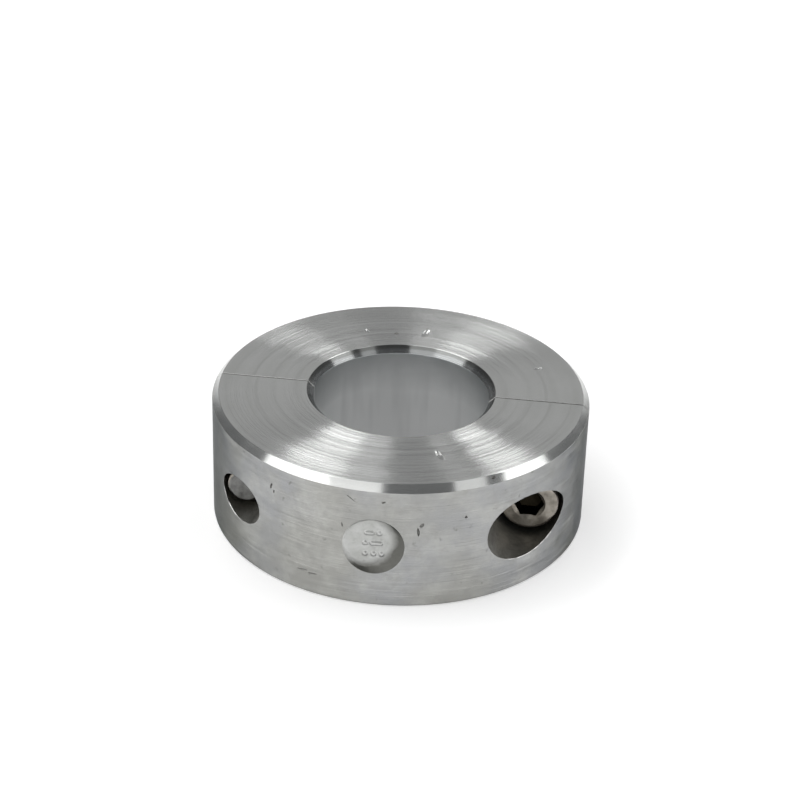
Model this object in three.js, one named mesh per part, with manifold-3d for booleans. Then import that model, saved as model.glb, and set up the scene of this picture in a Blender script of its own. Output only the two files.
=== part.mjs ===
// Two-piece shaft collar for a 40 mm shaft.
//
// Two equal half rings meet on a split plane and are drawn together by two M8 socket head
// screws. Each screw sits with a spring washer in a counterbore of its own half and threads
// into an insert in the other half, so the two screws point opposite ways.
//
// Frame: millimetres, +Z along the shaft, origin at the middle of the bottom face.
// The split plane is y = 0, and the screws run along Y.

import * as THREE from 'three';
import { mergeVertices } from 'three/addons/utils/BufferGeometryUtils.js';
import Module from 'manifold-3d';

const wasm = await Module();
wasm.setup();

// Ring
const COLLAR_RADIUS = 42.5;
const COLLAR_HEIGHT = 30;
const BORE_RADIUS = 19.8; // 39.6 mm across when closed, so that it nips a 40 mm shaft
const RIM_CHAMFER = 1.5; // outer edge of the top face
const BORE_CHAMFER = 1.5; // bore edge of the top face
const EDGE_BREAK = 0.5; // both edges of the bottom face
const SPLIT_GAP = 0.3; // hairline between the closed halves
const RING_SEGMENTS = 96;

// Holes for the screws
const SCREW_OFFSET = 31.2; // screw axis from the shaft axis
const SCREW_HEIGHT = COLLAR_HEIGHT / 2;
const SEAT_DEPTH = 9; // counterbore floor from the split plane
const COUNTERBORE_RADIUS = 7.5;
const CLEARANCE_RADIUS = 4.5;
const INSERT_HOLE_RADIUS = 5.1;
const HOLE_SEGMENTS = 40;

// Clearance between pieces that touch
const FIT = 0.3;

// M8 x 35 socket head screw
const SCREW_LENGTH = 35;
const SHANK_RADIUS = 4;
const THREAD_RADIUS = 3.6; // pitch radius, standing for the thread
const THREAD_LENGTH = 28;
const POINT_CHAMFER = 0.6;
const HEAD_RADIUS = 6.5;
const HEAD_HEIGHT = 8;
const HEAD_CHAMFER = 0.6;
const HEX_ACROSS_FLATS = 6;
const HEX_DEPTH = 4.4;

// Spring washer under the head
const WASHER_OUTER_RADIUS = 6.35;
const WASHER_INNER_RADIUS = 4.3;
const WASHER_THICKNESS = 2;

// Thread insert in the other half
const INSERT_LENGTH = 12;
const INSERT_START = 2; // its inner end from the split plane
const INSERT_OUTER_RADIUS = INSERT_HOLE_RADIUS - FIT;
const INSERT_INNER_RADIUS = THREAD_RADIUS + FIT;

// Round recess at the middle of each half's side, a little deeper low down on one side
const RECESS_RADIUS = 6.8;
const RECESS_DEPTH = 1;
const RECESS_TURN = THREE.MathUtils.degToRad(3);
const RECESS_LEAN = THREE.MathUtils.degToRad(2);

// Far enough for a cutting tool to run out of the ring
const CLEAR = 10;

const FINISHES = {
  collar: { color: 0xb9bbb9, roughness: 0.38, metalness: 1 },
  screw: { color: 0x8a8178, roughness: 0.35, metalness: 1 },
  washer: { color: 0x8f8f8c, roughness: 0.4, metalness: 1 },
  insert: { color: 0xa7a39a, roughness: 0.3, metalness: 1 },
};

// A closed geometry as a solid that can be joined and cut. Triangles that close to a line on
// an axis are dropped.
function solid(geometry) {
  geometry.deleteAttribute('normal');
  geometry.deleteAttribute('uv');
  const merged = mergeVertices(geometry, 1e-4);
  const corners = merged.index.array;
  const triVerts = [];
  for (let i = 0; i < corners.length; i += 3) {
    const [a, b, c] = corners.slice(i, i + 3);
    if (a !== b && b !== c && c !== a) {
      triVerts.push(a, b, c);
    }
  }
  return new wasm.Manifold(new wasm.Mesh({
    numProp: 3,
    vertProperties: new Float32Array(merged.attributes.position.array),
    triVerts: new Uint32Array(triVerts),
  }));
}

function namedMesh(name, shape, finish) {
  const { vertProperties, triVerts } = shape.getMesh();
  const geometry = new THREE.BufferGeometry();
  geometry.setAttribute('position', new THREE.BufferAttribute(vertProperties, 3));
  geometry.setIndex(new THREE.BufferAttribute(triVerts, 1));
  const mesh = new THREE.Mesh(geometry, new THREE.MeshStandardMaterial({ ...finish, flatShading: true }));
  mesh.name = name;
  return mesh;
}

// A body turned about the Y axis from an outline of [radius, y] corners, anticlockwise.
// The outline starts and ends on the axis, or is closed here.
function turned(corners, segments) {
  const points = corners.map(([radius, y]) => new THREE.Vector2(radius, y));
  if (corners[0][0] > 0) {
    points.push(points[0].clone());
  }
  return new THREE.LatheGeometry(points, segments);
}

// A round tool along Y, from y = from to y = to.
function rod(radius, from, to, x, z) {
  const geometry = new THREE.CylinderGeometry(radius, radius, to - from, HOLE_SEGMENTS);
  return solid(geometry.translate(x, (from + to) / 2, z));
}

// The whole ring, with its axis along Z.
function ring() {
  const outline = [
    [BORE_RADIUS + EDGE_BREAK, 0],
    [COLLAR_RADIUS - EDGE_BREAK, 0],
    [COLLAR_RADIUS, EDGE_BREAK],
    [COLLAR_RADIUS, COLLAR_HEIGHT - RIM_CHAMFER],
    [COLLAR_RADIUS - RIM_CHAMFER, COLLAR_HEIGHT],
    [BORE_RADIUS + BORE_CHAMFER, COLLAR_HEIGHT],
    [BORE_RADIUS, COLLAR_HEIGHT - BORE_CHAMFER],
    [BORE_RADIUS, EDGE_BREAK],
  ];
  return solid(turned(outline, RING_SEGMENTS).rotateX(Math.PI / 2));
}

// The round tool for the recess, leaning so that its floor is lower at the right and below.
function recessTool() {
  const geometry = new THREE.CylinderGeometry(RECESS_RADIUS, RECESS_RADIUS, CLEAR, HOLE_SEGMENTS);
  geometry.translate(0, -CLEAR / 2, 0);
  geometry.rotateZ(-RECESS_TURN);
  geometry.rotateX(-RECESS_LEAN);
  geometry.translate(0, RECESS_DEPTH - COLLAR_RADIUS, SCREW_HEIGHT);
  return solid(geometry);
}

// The half on the -Y side. Its own screw goes in at +X, and the other half's screw arrives
// at -X, where the hole is drilled through for the insert.
function halfRing() {
  const reach = COLLAR_RADIUS + CLEAR;
  const side = new THREE.BoxGeometry(2 * reach, reach, 2 * reach);
  return ring()
    .intersect(solid(side.translate(0, -(SPLIT_GAP + reach) / 2, 0)))
    .subtract(rod(COUNTERBORE_RADIUS, -reach, -SEAT_DEPTH, SCREW_OFFSET, SCREW_HEIGHT))
    .subtract(rod(CLEARANCE_RADIUS, -reach, CLEAR, SCREW_OFFSET, SCREW_HEIGHT))
    .subtract(rod(INSERT_HOLE_RADIUS, -reach, CLEAR, -SCREW_OFFSET, SCREW_HEIGHT))
    .subtract(recessTool());
}

// The spring washer, seated on the counterbore floor of the -Y half.
function springWasher() {
  const outer = -(SEAT_DEPTH + FIT + WASHER_THICKNESS);
  const inner = -(SEAT_DEPTH + FIT);
  const outline = [
    [WASHER_INNER_RADIUS, outer],
    [WASHER_OUTER_RADIUS, outer],
    [WASHER_OUTER_RADIUS, inner],
    [WASHER_INNER_RADIUS, inner],
  ];
  return solid(turned(outline, HOLE_SEGMENTS).translate(SCREW_OFFSET, 0, SCREW_HEIGHT));
}

// The screw of the -Y half: its head outwards at -Y, its point beyond the split plane.
function clampScrew() {
  const underHead = -(SEAT_DEPTH + FIT + WASHER_THICKNESS + FIT);
  const face = underHead - HEAD_HEIGHT;
  const point = underHead + SCREW_LENGTH;
  const threadStart = point - THREAD_LENGTH;
  const outline = [
    [0, face],
    [HEAD_RADIUS - HEAD_CHAMFER, face],
    [HEAD_RADIUS, face + HEAD_CHAMFER],
    [HEAD_RADIUS, underHead],
    [SHANK_RADIUS, underHead],
    [SHANK_RADIUS, threadStart],
    [THREAD_RADIUS, threadStart + SHANK_RADIUS - THREAD_RADIUS],
    [THREAD_RADIUS, point - POINT_CHAMFER],
    [THREAD_RADIUS - POINT_CHAMFER, point],
    [0, point],
  ];
  const socketRadius = HEX_ACROSS_FLATS / 2 / Math.cos(Math.PI / 6);
  const socket = new THREE.CylinderGeometry(socketRadius, socketRadius, 2 * HEX_DEPTH, 6);
  socket.rotateY(Math.PI / 6);
  socket.translate(0, face, 0);
  return solid(turned(outline, HOLE_SEGMENTS))
    .subtract(solid(socket))
    .translate([SCREW_OFFSET, 0, SCREW_HEIGHT]);
}

// The thread insert in the -Y half, at -X, which takes the other half's screw.
function threadInsert() {
  const outline = [
    [INSERT_INNER_RADIUS, -(INSERT_START + INSERT_LENGTH)],
    [INSERT_OUTER_RADIUS, -(INSERT_START + INSERT_LENGTH)],
    [INSERT_OUTER_RADIUS, -INSERT_START],
    [INSERT_INNER_RADIUS, -INSERT_START],
  ];
  return solid(turned(outline, HOLE_SEGMENTS).translate(-SCREW_OFFSET, 0, SCREW_HEIGHT));
}

// One half with its screw, its washer and the insert for the screw that comes from the other
// half. The collar is two of these, the rear one turned half way about the shaft.
function halfAssembly(place, screwSide, insertSide) {
  const assembly = new THREE.Group();
  assembly.add(
    namedMesh(`${place}_half`, halfRing(), FINISHES.collar),
    namedMesh(`${screwSide}_clamp_screw`, clampScrew(), FINISHES.screw),
    namedMesh(`${screwSide}_spring_washer`, springWasher(), FINISHES.washer),
    namedMesh(`${insertSide}_thread_insert`, threadInsert(), FINISHES.insert),
  );
  return assembly;
}

const group = new THREE.Group();
const front = halfAssembly('front', 'right', 'left');
const rear = halfAssembly('rear', 'left', 'right');
rear.rotation.z = Math.PI;
group.add(front, rear);

export default group;
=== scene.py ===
"""The looks of a split shaft collar: half rings, clamp screws, spring washers, thread inserts."""

import math

import bmesh
import bpy
from mathutils import Matrix, Vector, noise


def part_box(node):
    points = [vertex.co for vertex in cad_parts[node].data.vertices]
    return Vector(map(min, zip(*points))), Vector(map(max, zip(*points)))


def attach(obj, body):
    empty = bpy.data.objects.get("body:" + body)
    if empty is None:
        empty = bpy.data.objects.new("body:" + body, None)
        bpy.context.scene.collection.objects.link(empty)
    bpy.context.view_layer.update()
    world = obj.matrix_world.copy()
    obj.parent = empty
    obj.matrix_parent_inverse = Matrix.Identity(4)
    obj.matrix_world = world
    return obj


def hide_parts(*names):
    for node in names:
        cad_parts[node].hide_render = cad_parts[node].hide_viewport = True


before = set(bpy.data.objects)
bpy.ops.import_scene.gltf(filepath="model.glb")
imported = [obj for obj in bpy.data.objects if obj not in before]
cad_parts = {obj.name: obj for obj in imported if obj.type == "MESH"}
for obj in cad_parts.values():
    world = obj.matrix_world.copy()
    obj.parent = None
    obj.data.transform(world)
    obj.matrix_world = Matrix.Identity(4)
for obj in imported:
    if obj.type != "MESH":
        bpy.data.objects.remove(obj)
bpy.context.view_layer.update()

MM = 0.001
TAU = 2 * math.pi

# ---------------------------------------------------------------- sizes read from the frame

half_low, half_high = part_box("front_half")
RADIUS = half_high.x
HEIGHT = half_high.z
SPLIT = half_high.y

screw_low, screw_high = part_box("right_clamp_screw")
SCREW_X = (screw_low.x + screw_high.x) / 2
SCREW_Z = (screw_low.z + screw_high.z) / 2
HEAD_FACE = screw_low.y
POINT = screw_high.y
HEAD_RADIUS = (screw_high.x - screw_low.x) / 2

washer_low, washer_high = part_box("right_spring_washer")
WASHER_RADIUS = (washer_high.x - washer_low.x) / 2

insert_low, insert_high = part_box("left_thread_insert")
INSERT_RADIUS = (insert_high.x - insert_low.x) / 2

# ---------------------------------------------------------------- sizes the boxes can't give

BORE_RADIUS = 19.8 * MM
RIM_CHAMFER = 1.5 * MM
BORE_CHAMFER = 1.5 * MM
EDGE_BREAK = 0.5 * MM
CORNER_RADIUS = 0.25 * MM
BURR_CHAMFER = 0.24 * MM
SPLIT_CHAMFER = 0.07 * MM

SEAT = -9 * MM
COUNTERBORE_RADIUS = 7.5 * MM
CLEARANCE_RADIUS = 4.5 * MM
INSERT_HOLE_RADIUS = 5.1 * MM
COUNTERSINK = 0.4 * MM

RECESS_RADIUS = 6.8 * MM
RECESS_DEPTH = 1.0 * MM
RECESS_TURN = math.radians(3)
RECESS_LEAN = math.radians(2)
RECESS_DEEP_SIDE = math.radians(118)
RECESS_WALL = 0.7 * MM  # how far the wall slopes on the shallow side
RECESS_LONG_WALL = 3.0 * MM  # how much further it slopes on the deep side
MARK_HEIGHT = 0.42  # in mm

UNDER_HEAD = HEAD_FACE + 8 * MM
THREAD_START = UNDER_HEAD + 7 * MM
PITCH = 1.25 * MM
CREST_RADIUS = 3.97 * MM
THREAD_DEPTH = 0.5413 * PITCH
SHANK_RADIUS = 4 * MM
POINT_CHAMFER = 0.6 * MM
HEX_ACROSS_FLATS = 6.02 * MM
HEX_CORNER = HEX_ACROSS_FLATS / 2 / math.cos(math.pi / 6)
HEX_DEPTH = 4.2 * MM
DRILL_POINT = 1.4 * MM
KNURL_RIDGES = 54
KNURL_DEPTH = 0.16 * MM
STEPS_A_RIDGE = 6
WASHER_BORE = 4.3 * MM

# ---------------------------------------------------------------- meshes


def mesh_object(name, verts, faces, material=None):
    mesh = bpy.data.meshes.new(name)
    mesh.from_pydata([tuple(v) for v in verts], [], faces)
    if material:
        mesh.materials.append(material)
    made = bpy.data.objects.new(name, mesh)
    bpy.context.scene.collection.objects.link(made)
    return made


def grid_faces(rows, columns, close_rows=False):
    """Quads between rows of points, each row going once round."""
    faces = []
    for i in range(rows if close_rows else rows - 1):
        a, b = i * columns, (i + 1) % rows * columns
        for j in range(columns):
            k = (j + 1) % columns
            faces.append((a + j, a + k, b + k, b + j))
    return faces


def capped_grid(rows, columns):
    """The same, closed at the first and last rows."""
    last = (rows - 1) * columns
    ends = [tuple(reversed(range(columns))), tuple(range(last, last + columns))]
    return grid_faces(rows, columns) + ends


def about_z(radius, angle, height):
    """A point of the collar. The angle is 0 at -Y and grows towards +X."""
    return Vector((radius * math.sin(angle), -radius * math.cos(angle), height))


def about_y(radius, angle, y):
    """A point about the Y axis. The angle is 0 at +Z and grows towards +X."""
    return Vector((radius * math.sin(angle), y, radius * math.cos(angle)))


def turned(profile, segments):
    """A closed body about the Y axis, from (radius, y) rows in order of y."""
    verts = [about_y(r, TAU * i / segments, y) for r, y in profile for i in range(segments)]
    return verts, capped_grid(len(profile), segments)


def moved(part, offset):
    verts, faces = part
    return [v + Vector(offset) for v in verts], faces


def joined(name, parts, material=None):
    """Several closed meshes as one object."""
    verts, faces = [], []
    for part_verts, part_faces in parts:
        start = len(verts)
        verts += part_verts
        faces += [tuple(start + i for i in face) for face in part_faces]
    return mesh_object(name, verts, faces, material)


def face_outwards(obj):
    """Turns every face of a closed mesh to point out of it."""
    shape = bmesh.new()
    shape.from_mesh(obj.data)
    bmesh.ops.recalc_face_normals(shape, faces=shape.faces)
    shape.to_mesh(obj.data)
    shape.free()
    return obj


def apply_modifiers(obj):
    depsgraph = bpy.context.evaluated_depsgraph_get()
    obj.data = bpy.data.meshes.new_from_object(obj.evaluated_get(depsgraph))
    obj.modifiers.clear()


def boolean(obj, tool, operation="DIFFERENCE"):
    """Joins or cuts. The faces that a tool leaves keep the tool's material."""
    modifier = obj.modifiers.new(operation.lower(), "BOOLEAN")
    modifier.operation = operation
    modifier.solver = "EXACT"
    modifier.material_mode = "TRANSFER"
    modifier.object = face_outwards(tool)
    apply_modifiers(obj)
    bpy.data.objects.remove(tool)


def smooth(obj, sharp_angle=40):
    obj.data.shade_smooth()
    obj.data.set_sharp_from_angle(angle=math.radians(sharp_angle))
    weighted = obj.modifiers.new("weighted", "WEIGHTED_NORMAL")
    weighted.keep_sharp = True
    apply_modifiers(obj)
    return obj


def filleted(corners, radius, steps=3):
    """A closed outline with rounded corners."""
    outline = []
    points = [Vector(c) for c in corners]
    for before, corner, after in zip(points[-1:] + points[:-1], points, points[1:] + points[:1]):
        back, on = (before - corner).normalized(), (after - corner).normalized()
        half_angle = back.angle(on) / 2
        middle = corner + (back + on).normalized() * radius / math.sin(half_angle)
        reach = radius / math.tan(half_angle)
        start, end = corner + back * reach - middle, corner + on * reach - middle
        outline += [middle + start.lerp(end, i / steps).normalized() * radius for i in range(steps + 1)]
    return outline


def stepped(outline, step):
    """A closed outline with each stretch cut to steps, whose length step(a, b) gives."""
    points = []
    for a, b in zip(outline, outline[1:] + outline[:1]):
        pieces = max(1, math.ceil((b - a).length / step(a, b)))
        points += [a.lerp(b, i / pieces) for i in range(pieces)]
    return points


def corner_tool(points, along, across, widths):
    """A closed three-sided tool that takes a chamfer off a sharp edge.

    along and across point from each edge point into the two faces that meet there.
    """
    verts = []
    for p, a, b, width in zip(points, along, across, widths):
        verts += [p + a * width - b * 0.02 * MM, p + b * width - a * 0.02 * MM, p - (a + b) * width]
    return verts, grid_faces(len(points), 3, close_rows=True)


# ---------------------------------------------------------------- shaders

SHAFT_AXIS = (0, 0, 1)
SCREW_AXIS = (0, 1, 0)
TOOL_MARKS = 9 / MM


class Shader:
    """A material's nodes, with short ways to add more."""

    def __init__(self, name):
        self.material = bpy.data.materials.new(name)
        self.material.use_nodes = True
        self.nodes = self.material.node_tree.nodes
        self.links = self.material.node_tree.links
        self.surface = self.nodes["Principled BSDF"]
        self.place = self.nodes.new("ShaderNodeTexCoord").outputs["Object"]

    def feed(self, socket, value):
        if isinstance(value, bpy.types.NodeSocket):
            self.links.new(value, socket)
        else:
            socket.default_value = value

    def add(self, kind, *values, **settings):
        node = self.nodes.new(kind)
        for key, value in settings.items():
            setattr(node, key, value)
        for socket, value in zip(node.inputs, values):
            self.feed(socket, value)
        return node

    def math(self, operation, a, b=0.0):
        return self.add("ShaderNodeMath", a, b, operation=operation).outputs[0]

    def vector(self, operation, a, b=(0, 0, 0)):
        node = self.add("ShaderNodeVectorMath", a, b, operation=operation)
        return node.outputs["Value" if operation == "LENGTH" else "Vector"]

    def noise(self, scale, detail=2.0, roughness=0.5, at=None):
        node = self.add("ShaderNodeTexNoise", at or self.place)
        for name, value in (("Scale", scale), ("Detail", detail), ("Roughness", roughness)):
            node.inputs[name].default_value = value
        return node.outputs["Fac"]

    def ramp(self, value, low, high, to_low=0.0, to_high=1.0):
        return self.add("ShaderNodeMapRange", value, low, high, to_low, to_high, clamp=True).outputs[0]

    def mix(self, factor, a, b, blend="MIX"):
        node = self.add("ShaderNodeMix", data_type="RGBA", blend_type=blend)
        for socket, value in zip((0, 6, 7), (factor, a, b)):
            self.feed(node.inputs[socket], (*value, 1) if isinstance(value, tuple) else value)
        return node.outputs[2]

    def bump(self, height, distance, strength=1.0):
        node = self.nodes.new("ShaderNodeBump")
        for name, value in (("Height", height), ("Distance", distance), ("Strength", strength)):
            self.feed(node.inputs[name], value)
        return node.outputs[0]

    def stretched(self, x, y, z):
        return self.vector("MULTIPLY", self.place, (x, y, z))

    def combine(self, x, y=0.0, z=0.0):
        return self.add("ShaderNodeCombineXYZ", x, y, z).outputs[0]

    def along(self, axis):
        """The distance along one of the object's axes, X, Y or Z."""
        return self.add("ShaderNodeSeparateXYZ", self.place).outputs[axis]

    def radius(self, axis):
        """The distance from an axis through the object's origin."""
        return self.vector("LENGTH", self.vector("MULTIPLY", self.place, [0 if a else 1 for a in axis]))

    def around(self, axis):
        """The direction round an axis through the object's origin."""
        flat = self.vector("MULTIPLY", self.place, [0 if a else 1 for a in axis])
        return self.vector("CROSS_PRODUCT", axis, flat)

    def varied(self, value, amount):
        """A value of 0 to 1 as a change of up to half the amount, either way."""
        return self.math("MULTIPLY", self.math("SUBTRACT", value, 0.5), amount)

    def scaled(self, direction, size):
        return self.vector("MULTIPLY", direction, self.combine(size, size, size))

    def across(self, along):
        """The direction in the surface that crosses grooves lying along a direction."""
        world = self.add("ShaderNodeVectorTransform", along, vector_type="VECTOR")
        world.convert_from, world.convert_to = "OBJECT", "WORLD"
        normal = self.nodes.new("ShaderNodeNewGeometry").outputs["Normal"]
        return self.vector("NORMALIZE", self.vector("CROSS_PRODUCT", world.outputs[0], normal))

    def ridged(self, across, height, steepness):
        """The normal, tipped across the grooves by a value that varies about 0.5."""
        normal = self.nodes.new("ShaderNodeNewGeometry").outputs["Normal"]
        tip = self.scaled(across, self.varied(height, steepness))
        return self.vector("NORMALIZE", self.vector("ADD", normal, tip))

    def finish(self, **inputs):
        for key, value in inputs.items():
            self.feed(self.surface.inputs[key.replace("_", " ")], value)
        return self.material


def lathe_turned():
    """Bright metal with the fine concentric marks of a lathe tool."""
    s = Shader("lathe_turned")
    x, y, z = s.along("X"), s.along("Y"), s.along("Z")
    lane = s.math("ADD", s.radius(SHAFT_AXIS), z)
    bands = s.noise(240, 1, 0.5, s.combine(lane))
    smudge = s.noise(55, 3, 0.55)
    tone = s.ramp(s.math("ADD", bands, s.math("MULTIPLY", smudge, 0.6)), 0.55, 1.05)
    colour = s.mix(tone, (0.60, 0.61, 0.595), (0.73, 0.74, 0.73))
    swept = s.combine(s.math("MULTIPLY", lane, 420), s.math("MULTIPLY", x, 9), s.math("MULTIPLY", y, 9))
    arcs = s.ramp(s.noise(1, 1, 0.5, swept), 0.58, 0.70)
    colour = s.mix(s.math("MULTIPLY", arcs, 0.30), colour, (0.40, 0.40, 0.39))
    drifting = s.vector("ADD", s.combine(lane), s.stretched(0.05, 0.05, 0.0))
    wander = s.varied(s.noise(190, 1, 0.5, drifting), 0.16)
    grooves = s.vector("ADD", s.around(SHAFT_AXIS), s.scaled(s.stretched(1, 1, 0), wander))
    across = s.across(grooves)
    return s.finish(
        Base_Color=colour,
        Metallic=1.0,
        Roughness=s.ramp(s.math("ADD", bands, smudge), 0.75, 1.25, 0.17, 0.22),
        Anisotropic=1.0,
        Tangent=across,
        Normal=s.ridged(across, s.noise(TOOL_MARKS, 0, 0.5, s.combine(lane)), 1.1),
    )


def bore_edge():
    """The chamfer at the top of the bore: bright next to the bore, duller at its rim."""
    s = Shader("bore_edge")
    radius = s.radius(SHAFT_AXIS)
    wear = s.noise(300, 3, 0.6)
    rise = s.math("ADD", radius, s.math("MULTIPLY", wear, 0.4 * MM))
    upper = s.ramp(rise, BORE_RADIUS + 0.85 * MM, BORE_RADIUS + 1.15 * MM)
    across = s.across(s.around(SHAFT_AXIS))
    return s.finish(
        Base_Color=s.mix(upper, (0.32, 0.33, 0.33), (0.20, 0.205, 0.20)),
        Metallic=1.0,
        Roughness=s.ramp(wear, 0.3, 0.7, 0.18, 0.24),
        Anisotropic=1.0,
        Tangent=across,
        Normal=s.ridged(across, s.noise(TOOL_MARKS, 0, 0.5, s.combine(radius)), 0.9),
    )


def side_skin():
    """The scuffed satin side: mottled warm and cool greys, faint turning lines, small pits."""
    s = Shader("side_skin")
    blotch = s.noise(120, 4, 0.65)
    patch = s.noise(42, 2, 0.5)
    mottle = s.noise(230, 3, 0.7)
    rubs = s.noise(1, 2, 0.6, s.stretched(130, 130, 700))
    specks = s.ramp(s.noise(620, 3, 0.6), 0.66, 0.74)
    tone = s.mix(s.ramp(patch, 0.40, 0.60), (0.315, 0.315, 0.298), (0.33, 0.335, 0.34))
    tone = s.mix(s.math("MULTIPLY", s.ramp(blotch, 0.42, 0.70), 0.7), tone, (0.47, 0.47, 0.45))
    tone = s.mix(s.math("MULTIPLY", s.ramp(mottle, 0.50, 0.70), 0.50), tone, (0.29, 0.29, 0.275))
    tone = s.mix(s.math("MULTIPLY", s.ramp(rubs, 0.54, 0.76), 0.28), tone, (0.28, 0.28, 0.265))
    tone = s.mix(s.math("MULTIPLY", specks, 0.7), tone, (0.17, 0.17, 0.16))
    ridges = s.noise(1, 0, 0.5, s.stretched(90, 90, 8000))
    across = s.across(s.around(SHAFT_AXIS))
    return s.finish(
        Base_Color=tone,
        Metallic=1.0,
        Roughness=s.ramp(blotch, 0.35, 0.7, 0.20, 0.27),
        Anisotropic=1.0,
        Tangent=across,
        Specular_Tint=(0.25, 0.26, 0.265, 1),
        Normal=s.ridged(across, ridges, 0.9),
    )


def bored():
    """The bore: satin, its colour painted from dark at the top to light lower down as the floor's
    reflection, with faint vertical streaks over the turning marks.
    """
    s = Shader("bored")
    z = s.along("Z")
    feed = s.noise(7000, 0, 0.5, s.combine(z))
    streaks = s.noise(1, 2, 0.6, s.stretched(210, 210, 26))
    smudge = s.noise(90, 3, 0.6)
    # Painted reflection: the colour lightens from the top of the bore downwards, standing in for the pale
    # floor's light reflected low in the bore.
    depth = s.ramp(s.math("ADD", z, s.math("MULTIPLY", smudge, 4 * MM)), HEIGHT + 1 * MM, HEIGHT - 9 * MM)
    tone = s.mix(depth, (0.34, 0.355, 0.36), (0.84, 0.85, 0.85))
    tone = s.mix(s.math("MULTIPLY", s.ramp(streaks, 0.5, 0.75), 0.35), tone, (0.44, 0.45, 0.455))
    across = s.across(s.around(SHAFT_AXIS))
    return s.finish(
        Base_Color=tone,
        Metallic=0.9,
        Roughness=s.ramp(streaks, 0.3, 0.7, 0.30, 0.38),
        Anisotropic=0.6,
        Tangent=across,
        Normal=s.ridged(across, feed, 0.5),
    )


def drilled():
    """Hole walls and seats: darker, with the rings a drill leaves and some dirt."""
    s = Shader("drilled")
    rings = s.noise(2400, 2, 0.6, s.combine(s.along("Y"), s.math("MULTIPLY", s.along("Z"), 0.05)))
    dirt = s.noise(260, 4, 0.65)
    tone = s.mix(s.ramp(dirt, 0.4, 0.65), (0.40, 0.395, 0.37), (0.22, 0.215, 0.195))
    return s.finish(
        Base_Color=tone,
        Metallic=1.0,
        Roughness=s.ramp(dirt, 0.35, 0.7, 0.34, 0.55),
        Normal=s.bump(s.math("ADD", rings, dirt), 0.03 * MM, 0.8),
    )


def bright_edge():
    """Small chamfers and worn corners."""
    s = Shader("bright_edge")
    wear = s.noise(700, 3, 0.6)
    return s.finish(
        Base_Color=s.mix(wear, (0.60, 0.60, 0.58), (0.84, 0.84, 0.82)),
        Metallic=1.0,
        Roughness=s.ramp(wear, 0.3, 0.7, 0.22, 0.42),
        Normal=s.bump(wear, 0.03 * MM, 0.5),
    )


def sawn():
    """The split faces: straight cutter marks across the shaft, and rubbed spots."""
    s = Shader("sawn")
    marks = s.noise(1, 3, 0.6, s.stretched(2200, 60, 90))
    rubbed = s.noise(140, 3, 0.6)
    return s.finish(
        Base_Color=s.mix(s.ramp(rubbed, 0.4, 0.65), (0.55, 0.55, 0.54), (0.72, 0.72, 0.71)),
        Metallic=1.0,
        Roughness=s.ramp(marks, 0.3, 0.7, 0.28, 0.42),
        Anisotropic=0.5,
        Tangent=s.across(SHAFT_AXIS),
        Normal=s.bump(marks, 0.04 * MM, 0.7),
    )


def recess_skin():
    """The rough floor of the round recess, with painted shade along its deep side."""
    s = Shader("recess_skin")
    grain = s.noise(1100, 3, 0.65)
    blotch = s.noise(260, 3, 0.6)
    # Painted shade: the mask below darkens the recess towards its deep-side wall.
    shallow = about_y(1, RECESS_DEEP_SIDE + math.pi, 0) * 2.0 * MM
    start = s.vector("SUBTRACT", s.place, (shallow.x, 0, HEIGHT / 2 + shallow.z))
    reach = s.vector("LENGTH", s.vector("MULTIPLY", start, (1, 0, 1)))
    reach = s.math("ADD", reach, s.math("MULTIPLY", s.math("SUBTRACT", blotch, 0.5), 2.4 * MM))
    dirt = s.ramp(reach, 5.0 * MM, 6.9 * MM)
    tone = s.mix(s.ramp(blotch, 0.35, 0.65), (0.40, 0.405, 0.39), (0.50, 0.505, 0.495))
    tone = s.mix(s.math("MULTIPLY", s.ramp(grain, 0.55, 0.8), 0.4), tone, (0.28, 0.28, 0.265))
    # Painted shade along the deep-side wall, near black.
    tone = s.mix(dirt, tone, (0.125, 0.125, 0.115))
    return s.finish(
        Base_Color=tone,
        Metallic=1.0,
        Roughness=s.ramp(grain, 0.3, 0.7, 0.38, 0.55),
        Specular_Tint=(0.35, 0.36, 0.38, 1),
        Normal=s.bump(s.math("ADD", grain, blotch), 0.05 * MM, 0.8),
    )


def pit_skin():
    """The inside of nicks, pits and punch marks: dull and dark."""
    s = Shader("pit_skin")
    grain = s.noise(1600, 2, 0.6)
    return s.finish(
        Base_Color=s.mix(grain, (0.16, 0.16, 0.15), (0.28, 0.28, 0.27)),
        Metallic=1.0,
        Roughness=s.ramp(grain, 0.3, 0.7, 0.5, 0.65),
        Normal=s.bump(grain, 0.03 * MM, 0.6),
    )


def screw_steel():
    """Stainless screw steel, slightly brown, with turning rings and handling marks."""
    s = Shader("screw_steel")
    lane = s.math("ADD", s.radius(SCREW_AXIS), s.along("Y"))
    rings = s.noise(3200, 2, 0.6, s.combine(lane))
    stain = s.noise(330, 4, 0.6)
    tone = s.mix(s.ramp(stain, 0.38, 0.66), (0.30, 0.278, 0.245), (0.135, 0.122, 0.104))
    return s.finish(
        Base_Color=tone,
        Metallic=1.0,
        Roughness=s.ramp(stain, 0.35, 0.7, 0.28, 0.44),
        Anisotropic=0.5,
        Tangent=s.across(s.around(SCREW_AXIS)),
        Normal=s.bump(s.math("ADD", rings, s.math("MULTIPLY", stain, 1.5)), 0.025 * MM, 0.8),
    )


def point_steel():
    """The sheared end of a screw: dull grey."""
    s = Shader("point_steel")
    grain = s.noise(1400, 4, 0.65)
    stain = s.noise(420, 3, 0.6)
    return s.finish(
        Base_Color=s.mix(s.ramp(stain, 0.35, 0.68), (0.20, 0.20, 0.195), (0.105, 0.105, 0.10)),
        Metallic=1.0,
        Roughness=s.ramp(grain, 0.3, 0.7, 0.36, 0.55),
        Normal=s.bump(s.math("ADD", grain, stain), 0.04 * MM, 0.8),
    )


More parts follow.
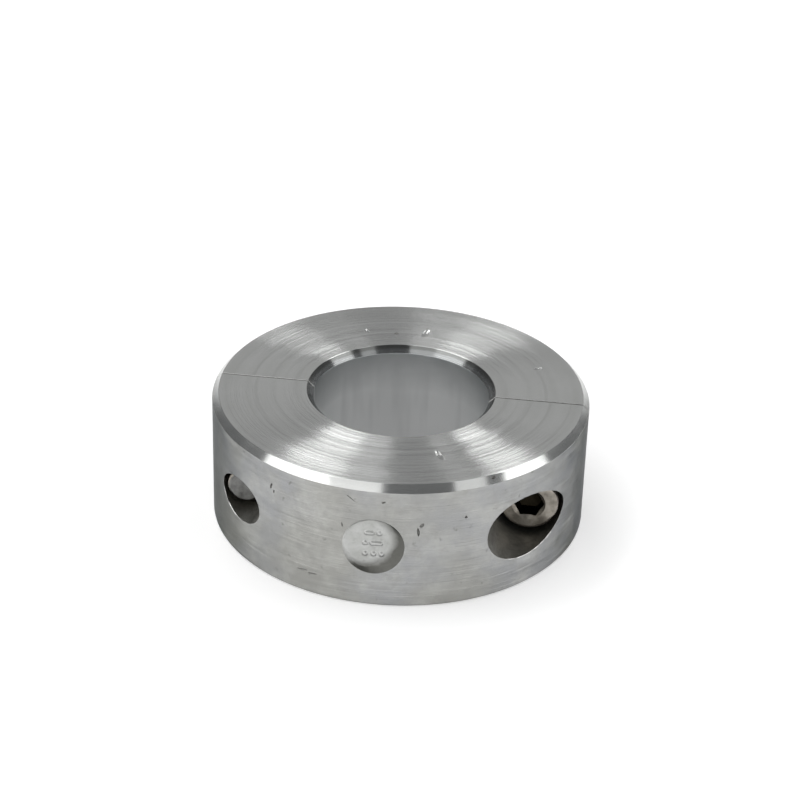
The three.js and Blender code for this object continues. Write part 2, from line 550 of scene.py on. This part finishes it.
def socket_painted_shade():
    """The walls of the hexagonal socket: painted nearly black as the shade inside it, with broaching
    marks along them.
    """
    s = Shader("socket_painted_shade")
    marks = s.noise(1, 3, 0.6, s.stretched(2400, 300, 2400))
    return s.finish(
        # Painted shade: the near-black colour stands for the shade deep in the socket.
        Base_Color=s.mix(marks, (0.006, 0.005, 0.003), (0.022, 0.018, 0.012)),
        Metallic=1.0,
        Roughness=s.ramp(marks, 0.3, 0.7, 0.38, 0.55),
        Normal=s.bump(marks, 0.03 * MM, 0.7),
    )


def washer_steel():
    """Plain spring steel with traces of scale."""
    s = Shader("washer_steel")
    scale = s.noise(420, 4, 0.65)
    marks = s.noise(1, 2, 0.5, s.stretched(300, 2600, 300))
    return s.finish(
        Base_Color=s.mix(s.ramp(scale, 0.35, 0.68), (0.46, 0.46, 0.45), (0.27, 0.265, 0.26)),
        Metallic=1.0,
        Roughness=s.ramp(scale, 0.3, 0.7, 0.30, 0.48),
        Normal=s.bump(s.math("ADD", scale, marks), 0.03 * MM, 0.8),
    )


def wire_steel():
    """The bright drawn wire of the thread inserts."""
    s = Shader("wire_steel")
    drawn = s.noise(1, 3, 0.6, s.stretched(260, 5200, 260))
    return s.finish(
        Base_Color=s.mix(drawn, (0.52, 0.50, 0.46), (0.70, 0.68, 0.64)),
        Metallic=1.0,
        Roughness=s.ramp(drawn, 0.3, 0.7, 0.22, 0.36),
        Normal=s.bump(drawn, 0.02 * MM, 0.6),
    )


# ---------------------------------------------------------------- half rings

# Marks in the recess: from x to x, at z, half width, in mm from its middle
RECESS_MARKS = [
    (-1.5, -0.3, 2.9, 0.46),
    (1.2, 1.3, 2.9, 0.5),
    (-1.8, -1.7, 0.3, 0.5),
    (-0.3, 1.5, 0.3, 0.46),
    (-1.8, -1.7, -2.4, 0.5),
    (0.0, 0.1, -2.4, 0.5),
    (1.7, 1.8, -2.4, 0.5),
]

# How finely the ring is meshed
AROUND = 512
SIDE_STEP = 0.5 * MM
FACE_STEP = 2.2 * MM

RING_SURFACES = ["turned", "side", "bored", "bore_edge"]

# How close together the side's shallow waves are, per metre, and how deep
SHALLOW_WAVES = [(110, 0.022 * MM), (420, 0.010 * MM)]

# Soft dents in the side: angle in degrees, height, half width, half height and depth in mm,
# slant in degrees
FRONT_DENTS = [
    (13.6, 19.9, 1.0, 2.2, 0.10, 10),
    (-24.8, 24.2, 0.35, 2.2, 0.08, 0),
    (-20.7, 5.3, 2.6, 0.6, 0.14, 6),
    (-7.6, 26.6, 1.9, 0.5, 0.10, -38),
    (29.5, 23.6, 1.6, 2.0, 0.07, 25),
    (22.0, 9.0, 2.4, 3.4, 0.06, 0),
    (-34.0, 9.0, 3.0, 2.6, 0.06, 0),
    (47.0, 4.6, 1.8, 0.5, 0.09, -10),
]
REAR_DENTS = [
    (-18.0, 20.4, 0.9, 1.8, 0.12, -20),
    (24.0, 8.0, 2.4, 0.7, 0.12, 14),
    (9.0, 25.6, 1.9, 0.5, 0.10, 22),
    (-62.0, 16.0, 0.6, 2.0, 0.08, 6),
    (40.0, 21.0, 3.0, 2.4, 0.06, 0),
]

# Sharp nicks in the side, in the same units
FRONT_NICKS = [
    (12.9, 19.0, 0.28, 1.05, 0.42, 8),
    (13.9, 20.6, 0.40, 0.62, 0.36, -35),
    (-32.9, 23.5, 0.26, 0.75, 0.34, -14),
    (-31.9, 22.4, 0.20, 0.45, 0.24, -8),
    (-21.5, 5.5, 1.5, 0.22, 0.22, 5),
    (-18.4, 5.2, 1.2, 0.20, 0.20, 8),
    (-9.1, 19.5, 0.16, 0.55, 0.22, 10),
    (-6.8, 26.4, 1.3, 0.12, 0.16, -36),
    (2.8, 26.2, 0.45, 0.22, 0.24, 20),
    (26.8, 21.7, 0.30, 0.34, 0.30, 30),
]
REAR_NICKS = [
    (-18.2, 20.2, 0.32, 0.95, 0.38, -22),
    (36.0, 24.5, 0.24, 0.70, 0.30, 8),
    (23.0, 8.1, 1.5, 0.22, 0.24, 12),
    (-40.5, 7.1, 0.36, 0.28, 0.30, 30),
    (8.6, 25.6, 1.2, 0.14, 0.18, 20),
    (-8.5, 6.3, 0.22, 0.50, 0.22, 0),
]

# Pits and punch marks in the top: angle in degrees, distance from the shaft axis, half width,
# half length and depth in mm, slant in degrees
FRONT_PITS = [(23.2, 30.2, 0.62, 0.75, 0.42, 20), (35.6, 41.5, 0.55, 0.35, 0.3, 15)]
REAR_PITS = [(-63.0, 33.5, 0.35, 0.35, 0.3, 0)]
REAR_PUNCHES = [
    (24.0, 29.0, 0.5, 0.9, 0.16, 0),
    (10.0, 26.9, 0.5, 0.5, 0.2, 0),
    (-4.4, 27.6, 0.8, 0.5, 0.16, 0),
]


def dent_depth(dents, angle, height):
    """How far the side is pushed in, in metres, by shallow waves and the dents."""
    spot = about_z(RADIUS, angle, height)
    depth = sum(deep * (1 + noise.noise(spot * closeness)) for closeness, deep in SHALLOW_WAVES)
    for at, z, half_width, half_height, deep, slant in dents:
        u = (angle - math.radians(at)) * RADIUS / MM
        v = height / MM - z
        turn = math.radians(slant)
        p = (u * math.cos(turn) + v * math.sin(turn)) / half_width
        q = (v * math.cos(turn) - u * math.sin(turn)) / half_height
        if p * p + q * q < 6:
            depth += deep * MM * math.exp(-p * p - q * q)
    return depth


def ring_outline():
    """The ring's section as (distance from the shaft axis, height) corners."""
    corners = [
        (BORE_RADIUS + EDGE_BREAK, 0),
        (RADIUS - EDGE_BREAK, 0),
        (RADIUS, EDGE_BREAK),
        (RADIUS, HEIGHT - RIM_CHAMFER),
        (RADIUS - RIM_CHAMFER, HEIGHT),
        (BORE_RADIUS + BORE_CHAMFER, HEIGHT),
        (BORE_RADIUS, HEIGHT - BORE_CHAMFER),
        (BORE_RADIUS, EDGE_BREAK),
    ]
    return filleted(corners, CORNER_RADIUS)


def on_side(a, b):
    """Whether a stretch of the outline belongs to the round side."""
    return min(a.x, b.x) > RADIUS - 0.1 * MM


def surface_at(spot):
    """Which of the ring's surfaces a point lies on."""
    radius = spot.xy.length
    if radius > RADIUS - 0.45 * MM and spot.z < HEIGHT - RIM_CHAMFER:
        return "side"
    if radius < BORE_RADIUS + 0.1 * MM:
        return "bored"
    if radius < BORE_RADIUS + BORE_CHAMFER and spot.z > HEIGHT / 2:
        return "bore_edge"
    return "turned"


def ring(name, dents):
    """The whole ring, with a fine mesh on its side for the dents."""
    outline = stepped(ring_outline(), lambda a, b: SIDE_STEP if on_side(a, b) else FACE_STEP)
    verts = []
    for i in range(AROUND):
        angle = TAU * i / AROUND - math.pi
        for p in outline:
            pushed = dent_depth(dents, angle, p.y) if on_side(p, p) else 0
            verts.append(about_z(p.x - pushed, angle, p.y))
    made = mesh_object(name, verts, grid_faces(AROUND, len(outline), close_rows=True))
    for key in RING_SURFACES:
        made.data.materials.append(METALS[key])
    for face in made.data.polygons:
        face.material_index = RING_SURFACES.index(surface_at(face.center))
    return face_outwards(made)


def front_side():
    """A block that holds everything on the -Y side of the split."""
    reach = 2 * RADIUS
    corners = [(x, y, z) for x in (-reach, reach) for y in (-reach, SPLIT) for z in (-reach, reach)]
    faces = [(0, 1, 3, 2), (4, 6, 7, 5), (0, 4, 5, 1), (2, 3, 7, 6), (0, 2, 6, 4), (1, 5, 7, 3)]
    return [Vector(c) for c in corners], faces


def hole_tools():
    """The counterbored screw hole at +X and the insert hole at -X, with small countersinks."""
    out = -RADIUS - 5 * MM
    past = 5 * MM
    screw_hole = [
        (COUNTERBORE_RADIUS, out),
        (COUNTERBORE_RADIUS, SEAT - 0.2 * MM),
        (COUNTERBORE_RADIUS - 0.2 * MM, SEAT),
        (CLEARANCE_RADIUS + 0.2 * MM, SEAT),
        (CLEARANCE_RADIUS, SEAT + 0.2 * MM),
        (CLEARANCE_RADIUS, SPLIT - COUNTERSINK),
        (CLEARANCE_RADIUS + COUNTERSINK, SPLIT),
        (CLEARANCE_RADIUS + COUNTERSINK, past),
    ]
    insert_hole = [
        (INSERT_HOLE_RADIUS, out),
        (INSERT_HOLE_RADIUS, SPLIT - COUNTERSINK),
        (INSERT_HOLE_RADIUS + COUNTERSINK, SPLIT),
        (INSERT_HOLE_RADIUS + COUNTERSINK, past),
    ]
    return [
        moved(turned(screw_hole, 128), (SCREW_X, 0, SCREW_Z)),
        moved(turned(insert_hole, 96), (-SCREW_X, 0, SCREW_Z)),
    ]


def hole_mouth_chamfer(radius, x):
    """The hand-cut chamfer where a hole along Y comes out of the side, widest low down and outside."""
    outer_low = about_y(1, math.copysign(math.radians(140), x), 0)
    points, along, across, widths = [], [], [], []
    for i in range(160):
        angle = TAU * i / 160
        away = about_y(1, angle, 0)
        p = Vector((x, 0, SCREW_Z)) + away * radius
        p.y = -math.sqrt(RADIUS ** 2 - p.x ** 2)
        normal = Vector((p.x, p.y, 0)).normalized()
        points.append(p)
        along.append((away - normal * away.dot(normal)).normalized())
        across.append(Vector((0, 1, 0)))
        ragged = max(0.25, 0.75 + 0.8 * noise.noise(p * 800))
        widths.append(BURR_CHAMFER * (0.3 + 0.7 * max(0, away.dot(outer_low)) ** 2) * ragged)
    return corner_tool(points, along, across, widths)


def split_chamfer(side):
    """The chamfer round the cut face of the ring at +X or -X."""
    outline = stepped(ring_outline(), lambda a, b: FACE_STEP)
    rim = math.sqrt(RADIUS ** 2 - SPLIT ** 2)
    points, along, across = [], [], []
    for before, p, after in zip(outline[-1:] + outline[:-1], outline, outline[1:] + outline[:1]):
        run = (after - before).normalized()
        points.append(Vector((side * (p.x - RADIUS + rim), SPLIT, p.y)))
        along.append(Vector((0, -1, 0)))
        across.append(Vector((-side * run.y, 0, run.x)))
    return corner_tool(points, along, across, [SPLIT_CHAMFER] * len(points))


def raised_marks(x, z):
    """Height in mm of the low marks in the recess, which are plain bars and dots."""
    height = 0.0
    for x0, x1, mark_z, half_width in RECESS_MARKS:
        away = math.hypot(max(x0 - x, x - x1, 0), z - mark_z)
        height = max(height, MARK_HEIGHT * math.exp(-((away / half_width) ** 4)))
    return height


def recess_level(p):
    """How deep the recess is at a point of its plan, measured in from the tangent plane."""
    radius = math.hypot(p.x, p.z)
    surface = RADIUS - math.sqrt(RADIUS ** 2 - p.x ** 2)
    floor_level = RECESS_DEPTH + p.x * math.tan(RECESS_TURN) - p.z * math.tan(RECESS_LEAN)
    floor_level -= raised_marks(p.x / MM, p.z / MM) * MM
    floor_level += 0.035 * MM * noise.noise(p * 900)
    deep = max(0, p.dot(about_y(1, RECESS_DEEP_SIDE, 0)) / max(radius, MM))
    wall = RECESS_WALL + RECESS_LONG_WALL * deep ** 1.5
    slope = min((RECESS_RADIUS - radius) / wall, 1)
    if slope < 0:
        return surface + slope * 2 * MM
    return surface + max(floor_level - surface, 0) * (1 - (1 - slope) ** 1.6)


def recess_tool():
    """A dish-ended tool: its end carries the sloping wall and the marks of the recess."""
    rings, segments = 44, 144
    reach = RECESS_RADIUS + 0.9 * MM
    verts = [Vector((0, recess_level(Vector((0, 0, 0))), 0))]
    for i in range(1, rings + 1):
        for j in range(segments):
            p = about_y(reach * i / rings, TAU * j / segments, 0)
            verts.append(p + Vector((0, recess_level(p), 0)))
    far = len(verts)
    verts += [about_y(reach, TAU * j / segments, -9 * MM) for j in range(segments)]
    faces = [(0, 1 + j, 1 + (j + 1) % segments) for j in range(segments)]
    for i in range(rings):
        a, b = 1 + i * segments, 1 + (i + 1) * segments
        for j in range(segments):
            k = (j + 1) % segments
            faces.append((a + j, b + j, b + k, a + k))
    faces.append(tuple(range(far, far + segments)))
    return moved((verts, faces), (0, -RADIUS, HEIGHT / 2))


def nick_tool(centre, right, up, half_width, half_height, depth, slant):
    """A slightly uneven round-bottomed tool, sunk half way into a surface."""
    rings, segments = 10, 24
    turn = math.radians(slant)
    out = right.cross(up)
    verts = []
    for i in range(rings + 1):
        rise = math.pi * (i + 0.5) / (rings + 1) - math.pi / 2
        for j in range(segments):
            around = TAU * j / segments
            uneven = 1 + 0.07 * math.sin(3 * around + slant) + 0.05 * math.sin(2 * around)
            reach = math.cos(rise) * uneven
            u, v = reach * math.cos(around) * half_width, reach * math.sin(around) * half_height
            x, y = u * math.cos(turn) - v * math.sin(turn), v * math.cos(turn) + u * math.sin(turn)
            verts.append(centre + (right * x + up * y + out * depth * math.sin(rise)) * MM)
    return verts, capped_grid(rings + 1, segments)


def side_nick(angle, height, *size):
    """The tool for one nick in the side."""
    angle = math.radians(angle)
    centre = about_z(RADIUS - 0.04 * MM, angle, height * MM)
    return nick_tool(centre, about_z(1, angle + math.pi / 2, 0), Vector((0, 0, 1)), *size)


def top_pit(angle, distance, *size):
    """The tool for one pit in the top or in the chamfer of its rim."""
    angle = math.radians(angle)
    down_chamfer = max(0, distance * MM - (RADIUS - RIM_CHAMFER))
    centre = about_z(distance * MM, angle, HEIGHT - down_chamfer)
    return nick_tool(centre, about_z(1, angle + math.pi / 2, 0), about_z(-1, angle, 0), *size)


def half_ring(name, dents, nicks, pits, punches=()):
    """The -Y half of a ring with its holes, recess and marks."""
    half = ring(name, dents)
    boolean(half, joined("side", [front_side()], METALS["sawn"]), "INTERSECT")
    boolean(half, joined("recess", [recess_tool()], METALS["recess"]))
    boolean(half, joined("holes", hole_tools(), METALS["drilled"]))
    mouths = [
        hole_mouth_chamfer(COUNTERBORE_RADIUS, SCREW_X),
        hole_mouth_chamfer(INSERT_HOLE_RADIUS, -SCREW_X),
        split_chamfer(1),
        split_chamfer(-1),
    ]
    boolean(half, joined("mouths", mouths, METALS["edge"]))
    for nick in nicks:
        boolean(half, joined("nick", [side_nick(*nick)], METALS["pit"]))
    boolean(half, joined("pits", [top_pit(*pit) for pit in pits], METALS["pit"]))
    if punches:
        boolean(half, joined("punches", [top_pit(*punch) for punch in punches], METALS["pit"]))
    return half


def show(piece, node):
    """Lets a finished piece stand for its CAD node and move with the node's body."""
    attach(piece, BODY_OF[node])
    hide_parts(node)


# ---------------------------------------------------------------- screws, washers, inserts


def thread_radius(angle, y):
    """The screw's surface in its thread: 60 degree flanks, narrow crests, wider roots."""
    phase = (y / PITCH - angle / TAU) % 1
    from_crest = min(phase, 1 - phase) * PITCH
    flank = min(max((from_crest - PITCH / 16) / (PITCH * 5 / 16), 0), 1)
    run_in = min(max((y - THREAD_START) / (1.2 * PITCH), 0), 1)
    return CREST_RADIUS - THREAD_DEPTH * flank * run_in


def shank():
    """The plain neck and the thread, with a chamfered point."""
    segments, step = 72, PITCH / 14
    rows = [UNDER_HEAD - 2 * MM, UNDER_HEAD + 0.3 * MM, THREAD_START - 0.3 * MM, THREAD_START]
    rows += [THREAD_START + i * step for i in range(1, int((POINT - THREAD_START) / step))]
    rows.append(POINT)
    verts = []
    for y in rows:
        for i in range(segments):
            angle = TAU * i / segments
            radius = SHANK_RADIUS if y < THREAD_START else thread_radius(angle, y)
            limit = CREST_RADIUS - 0.05 * MM - max(0, y - POINT + POINT_CHAMFER)
            verts.append(about_y(min(radius, limit) if y > POINT - POINT_CHAMFER else radius, angle, y))
    return verts, capped_grid(len(rows), segments)


def head():
    """The knurled head: a flat face inside a rounded rim."""
    profile = [
        (HEAD_RADIUS - 0.95 * MM, HEAD_FACE, 0),
        (HEAD_RADIUS - 0.60 * MM, HEAD_FACE + 0.08 * MM, 0),
        (HEAD_RADIUS - 0.30 * MM, HEAD_FACE + 0.28 * MM, 0),
        (HEAD_RADIUS - 0.10 * MM, HEAD_FACE + 0.60 * MM, 0.3),
        (HEAD_RADIUS, HEAD_FACE + 0.95 * MM, 1),
        (HEAD_RADIUS, UNDER_HEAD - 1.1 * MM, 1),
        (HEAD_RADIUS - 0.08 * MM, UNDER_HEAD - 0.6 * MM, 0.2),
        (HEAD_RADIUS - 0.1 * MM, UNDER_HEAD - 0.25 * MM, 0),
        (HEAD_RADIUS - 0.3 * MM, UNDER_HEAD, 0),
    ]
    segments = KNURL_RIDGES * STEPS_A_RIDGE
    verts = []
    for radius, y, knurl in profile:
        for i in range(segments):
            groove = 0.5 - 0.5 * math.cos(TAU * i / STEPS_A_RIDGE)
            verts.append(about_y(radius - KNURL_DEPTH * knurl * groove, TAU * i / segments, y))
    return verts, capped_grid(len(profile), segments)


def socket_tool():
    """A hexagonal tool with the pointed end that a drill leaves."""
    end = HEAD_FACE + HEX_DEPTH
    rows = [(HEX_CORNER, HEAD_FACE - 2 * MM), (HEX_CORNER, end), (0.2 * MM, end + DRILL_POINT)]
    verts = [about_y(r, TAU * (i + 0.5) / 6, y) for r, y in rows for i in range(6)]
    return verts, capped_grid(3, 6)


def mouth_tool():
    """The countersink at the mouth of the socket."""
    wide, narrow = HEX_CORNER + 0.25 * MM, HEX_CORNER - 0.5 * MM
    rows = [(wide + MM, HEAD_FACE - MM), (wide, HEAD_FACE), (narrow, HEAD_FACE + 0.55 * MM)]
    return turned(rows, 96)


def clamp_screw(name):
    """The socket head screw, about the Y axis, its head towards -Y."""
    screw = joined(name, [head()], METALS["screw"])
    face_outwards(screw)
    boolean(screw, joined("shank", [shank()], METALS["screw"]), "UNION")
    boolean(screw, joined("mouth", [mouth_tool()], METALS["screw"]))
    boolean(screw, joined("socket", [socket_tool()], METALS["socket"]))
    screw.data.materials.append(METALS["point"])
    for face in screw.data.polygons:
        if face.center.y > POINT - 0.7 * POINT_CHAMFER:
            face.material_index = len(screw.data.materials) - 1
    return smooth(screw, 35)


def spring_washer(name):
    """One turn of square wire, cut across at a slant."""
    near, far = washer_low.y, washer_high.y
    corners = [(WASHER_BORE, near), (WASHER_RADIUS, near), (WASHER_RADIUS, far), (WASHER_BORE, far)]
    section = filleted(corners, 0.22 * MM)
    rows = 120
    slit = 0.35 * MM / WASHER_RADIUS
    verts = []
    for i in range(rows + 1):
        for p in section:
            skew = 0.16 * (p.y - (near + far) / 2) / (far - near)
            angle = slit + (TAU - 2 * slit) * i / rows + skew
            verts.append(about_y(p.x, angle, p.y))
    washer = joined(name, [(verts, capped_grid(rows + 1, len(section)))], METALS["washer"])
    return smooth(face_outwards(washer))


def wire_insert(name):
    """A coil of diamond-section wire that lies in the screw's thread."""
    tip = 0.07 * MM
    inner, outer = 3.42 * MM, INSERT_RADIUS
    middle = (inner + outer) / 2
    wide = tip + (middle - inner) * math.tan(math.radians(30))
    section = [(inner, -tip), (inner, tip), (middle, wide), (outer, tip), (outer, -tip), (middle, -wide)]
    first = (insert_low.y + wide) / PITCH - 0.5
    last = (insert_high.y - wide) / PITCH - 0.5
    rows = int((last - first) * 56)
    verts = []
    for i in range(rows + 1):
        turn = first + (last - first) * i / rows
        for radius, offset in section:
            verts.append(about_y(radius, TAU * turn, PITCH * (turn + 0.5) + offset))
    coil = joined(name, [(verts, capped_grid(rows + 1, len(section)))], METALS["wire"])
    return smooth(face_outwards(coil))


def placed(piece, x, turn=0.0):
    """Puts a piece made about the Y axis at a screw's axis, turned about the shaft."""
    piece.matrix_world = Matrix.Rotation(turn, 4, "Z") @ Matrix.Translation((x, 0, SCREW_Z))
    return piece


METALS = {
    "turned": lathe_turned(),
    "side": side_skin(),
    "bore_edge": bore_edge(),
    "bored": bored(),
    "drilled": drilled(),
    "edge": bright_edge(),
    "sawn": sawn(),
    "recess": recess_skin(),
    "pit": pit_skin(),
    "screw": screw_steel(),
    "point": point_steel(),
    "socket": socket_painted_shade(),
    "washer": washer_steel(),
    "wire": wire_steel(),
}

BODY_OF = {
    "front_half": "front_half",
    "left_thread_insert": "front_half",
    "rear_half": "rear_half",
    "right_thread_insert": "rear_half",
    "right_clamp_screw": "right_screw",
    "left_clamp_screw": "left_screw",
    "right_spring_washer": "right_washer",
    "left_spring_washer": "left_washer",
}

front = smooth(half_ring("front_half_ring", FRONT_DENTS, FRONT_NICKS, FRONT_PITS))
show(front, "front_half")
rear = smooth(half_ring("rear_half_ring", REAR_DENTS, REAR_NICKS, REAR_PITS, REAR_PUNCHES))
rear.matrix_world = Matrix.Rotation(math.pi, 4, "Z")
show(rear, "rear_half")
for side, turn in (("right", 0.0), ("left", math.pi)):
    show(placed(clamp_screw(side + "_screw"), SCREW_X, turn), side + "_clamp_screw")
    show(placed(spring_washer(side + "_washer"), SCREW_X, turn), side + "_spring_washer")
for side, turn in (("left", 0.0), ("right", math.pi)):
    show(placed(wire_insert(side + "_insert"), -SCREW_X, turn), side + "_thread_insert")

# ---------------------------------------------------------------- floor, lights, camera

CAMERA_AZIMUTH = math.radians(6.76)
CAMERA_ELEVATION = math.radians(30.54)
CAMERA_DISTANCE = 11.68 * RADIUS
CAMERA_AIM = Vector((-0.2 * MM, 0, 0.638 * RADIUS))
CAMERA_ROLL = math.radians(1.75)
CAMERA_LENS = 97.7

FLOOR_RADIUS = 1.6
FLOOR_SWEEP = 0.9
FLOOR_STEEPNESS = 0.55
FLOOR_GLOW = 0.32

# The dome that the overhead panels lie on: its radius, how near its top they start, and the
# elevation that they come down to
DOME = 1.3
NEAREST = 0.22
LOWEST = math.radians(24)

# The overhead panels as they show on the turned top: from and to an angle, then the brightness
# of the part that the flat top reflects and of the part that the chamfer reflects
PANELS = [
    (-37.0, -14.5, 3.9, 1.5),
    (-14.5, 2.0, 1.45, 1.0),
    (24.0, 34.0, 0.9, 0.8),
    (40.3, 57.0, 3.8, 1.4),
]
TOP_SHARE = 0.6

# The low light in front: its radius, foot and top, the angles in degrees that it spans, the angle
# past which its top drops and the angle over which it does, its brightness
ARC_RADIUS = 1.5
ARC_FOOT = 0.06
ARC_TOP = 0.5
ARC_ANGLES = range(-93, 138, 3)
ARC_LEVEL_TO = 92
ARC_DROP_OVER = 30
ARC_DROP = 0.30
ARC_BRIGHTNESS = 1.9

# The dim card behind: its half width, distance, foot and top, then its brightness
BACK_CARD = (0.75, 1.3, 0.3, 1.1)
BACK_BRIGHTNESS = 0.42

WORLD_BRIGHTNESS = 0.15


def floor():
    """A pale round sheet that sweeps up at its far edge."""
    s = Shader("floor")
    s.finish(
        Base_Color=(0.88, 0.88, 0.88, 1),
        Roughness=0.95,
        Specular_IOR_Level=0.1,
        Emission_Color=(1, 1, 1, 1),
        Emission_Strength=FLOOR_GLOW,
    )
    rows, segments = [(0.02, 0.0), (1.0, 0.0), (FLOOR_RADIUS, 0.0)], 96
    for a in (0.2, 0.4, 0.6, 0.8, 1.0, 1.2):
        rise = FLOOR_SWEEP * (1 - math.cos(a)) * FLOOR_STEEPNESS
        rows.append((FLOOR_RADIUS + FLOOR_SWEEP * math.sin(a), rise))
    verts = [about_z(r, TAU * i / segments, z) for r, z in rows for i in range(segments)]
    faces = [tuple(range(segments))] + grid_faces(len(rows), segments)
    sheet = mesh_object("floor", verts, faces, s.material)
    sheet.data.shade_smooth()


def card(name, corners, strength, faces=None):
    """A lit card with its corners given in metres."""
    s = Shader(name)
    s.finish(
        Base_Color=(0.02, 0.02, 0.02, 1),
        Roughness=1.0,
        Emission_Color=(1, 1, 1, 1),
        Emission_Strength=strength,
    )
    mesh_object(name, corners, faces or [tuple(range(len(corners)))], s.material)


def dome_spot(angle, share):
    """A spot of the dome that the grooves at an angle of the top send to the camera."""
    view = about_z(math.cos(CAMERA_ELEVATION), CAMERA_AZIMUTH, math.sin(CAMERA_ELEVATION))
    outward = about_z(1, angle, 0)
    lean = view.dot(outward)
    furthest = lean + math.sqrt(lean ** 2 - view.xy.length_squared + math.cos(LOWEST) ** 2)
    spot = outward * (NEAREST + share * (furthest - NEAREST)) - view
    spot.z = math.sqrt(1 - spot.xy.length_squared)
    return spot * DOME


def panel(name, start, end, near, far, strength):
    """A strip of the dome that lights the top from one angle to another."""
    rows, columns = 9, 7
    spots = []
    for i in range(rows):
        for j in range(columns):
            angle = math.radians(start + (end - start) * j / (columns - 1))
            spots.append(dome_spot(angle, near + (far - near) * i / (rows - 1)))
    faces = []
    for i in range(rows - 1):
        for j in range(columns - 1):
            k = i * columns + j
            faces.append((k, k + 1, k + columns + 1, k + columns))
    card(name, spots, strength, faces)


def arc_top(angle):
    """The low front light is lower towards its ends."""
    return ARC_TOP - ARC_DROP * min(max((abs(angle) - ARC_LEVEL_TO) / ARC_DROP_OVER, 0), 1)


def front_arc():
    """The low light that wraps round the front, in upright panes."""
    spots = [about_z(ARC_RADIUS, math.radians(angle), ARC_FOOT) for angle in ARC_ANGLES]
    spots += [about_z(ARC_RADIUS, math.radians(angle), arc_top(angle)) for angle in reversed(ARC_ANGLES)]
    panes = [(i, i + 1, len(spots) - 2 - i, len(spots) - 1 - i) for i in range(len(ARC_ANGLES) - 1)]
    card("front_arc", spots, ARC_BRIGHTNESS, panes)


def back_card():
    """A dim upright card behind the collar."""
    reach, back, foot, top = BACK_CARD
    corners = [(-reach, back, foot), (reach, back, foot), (reach, back, top), (-reach, back, top)]
    card("back_card", corners, BACK_BRIGHTNESS)


def lights():
    """Soft panels overhead with dark gaps between them, a low light in front, a dim card behind."""
    for i, (start, end, top_strength, edge_strength) in enumerate(PANELS):
        panel("top_panel_" + str(i), start, end, 0.0, TOP_SHARE, top_strength)
        panel("edge_panel_" + str(i), start, end, TOP_SHARE, 1.0, edge_strength)
    back_card()
    front_arc()
    world = bpy.data.worlds.new("studio")
    world.use_nodes = True
    sky = world.node_tree.nodes["Background"]
    sky.inputs["Color"].default_value = (0.97, 0.98, 1.0, 1)
    sky.inputs["Strength"].default_value = WORLD_BRIGHTNESS
    bpy.context.scene.world = world


def camera():
    """The photograph's view: from the front, a little to the right, looking down."""
    data = bpy.data.cameras.new("camera")
    data.lens = CAMERA_LENS
    data.clip_start = 0.01
    made = bpy.data.objects.new("camera", data)
    bpy.context.scene.collection.objects.link(made)
    level = CAMERA_DISTANCE * math.cos(CAMERA_ELEVATION)
    rise = CAMERA_DISTANCE * math.sin(CAMERA_ELEVATION)
    made.location = about_z(level, CAMERA_AZIMUTH, HEIGHT / 2 + rise)
    look = (CAMERA_AIM - made.location).to_track_quat("-Z", "Y").to_matrix()
    made.rotation_euler = (look @ Matrix.Rotation(CAMERA_ROLL, 3, "Z")).to_euler()
    bpy.context.scene.camera = made


floor()
lights()
camera()
bpy.context.scene.view_settings.view_transform = "Standard"
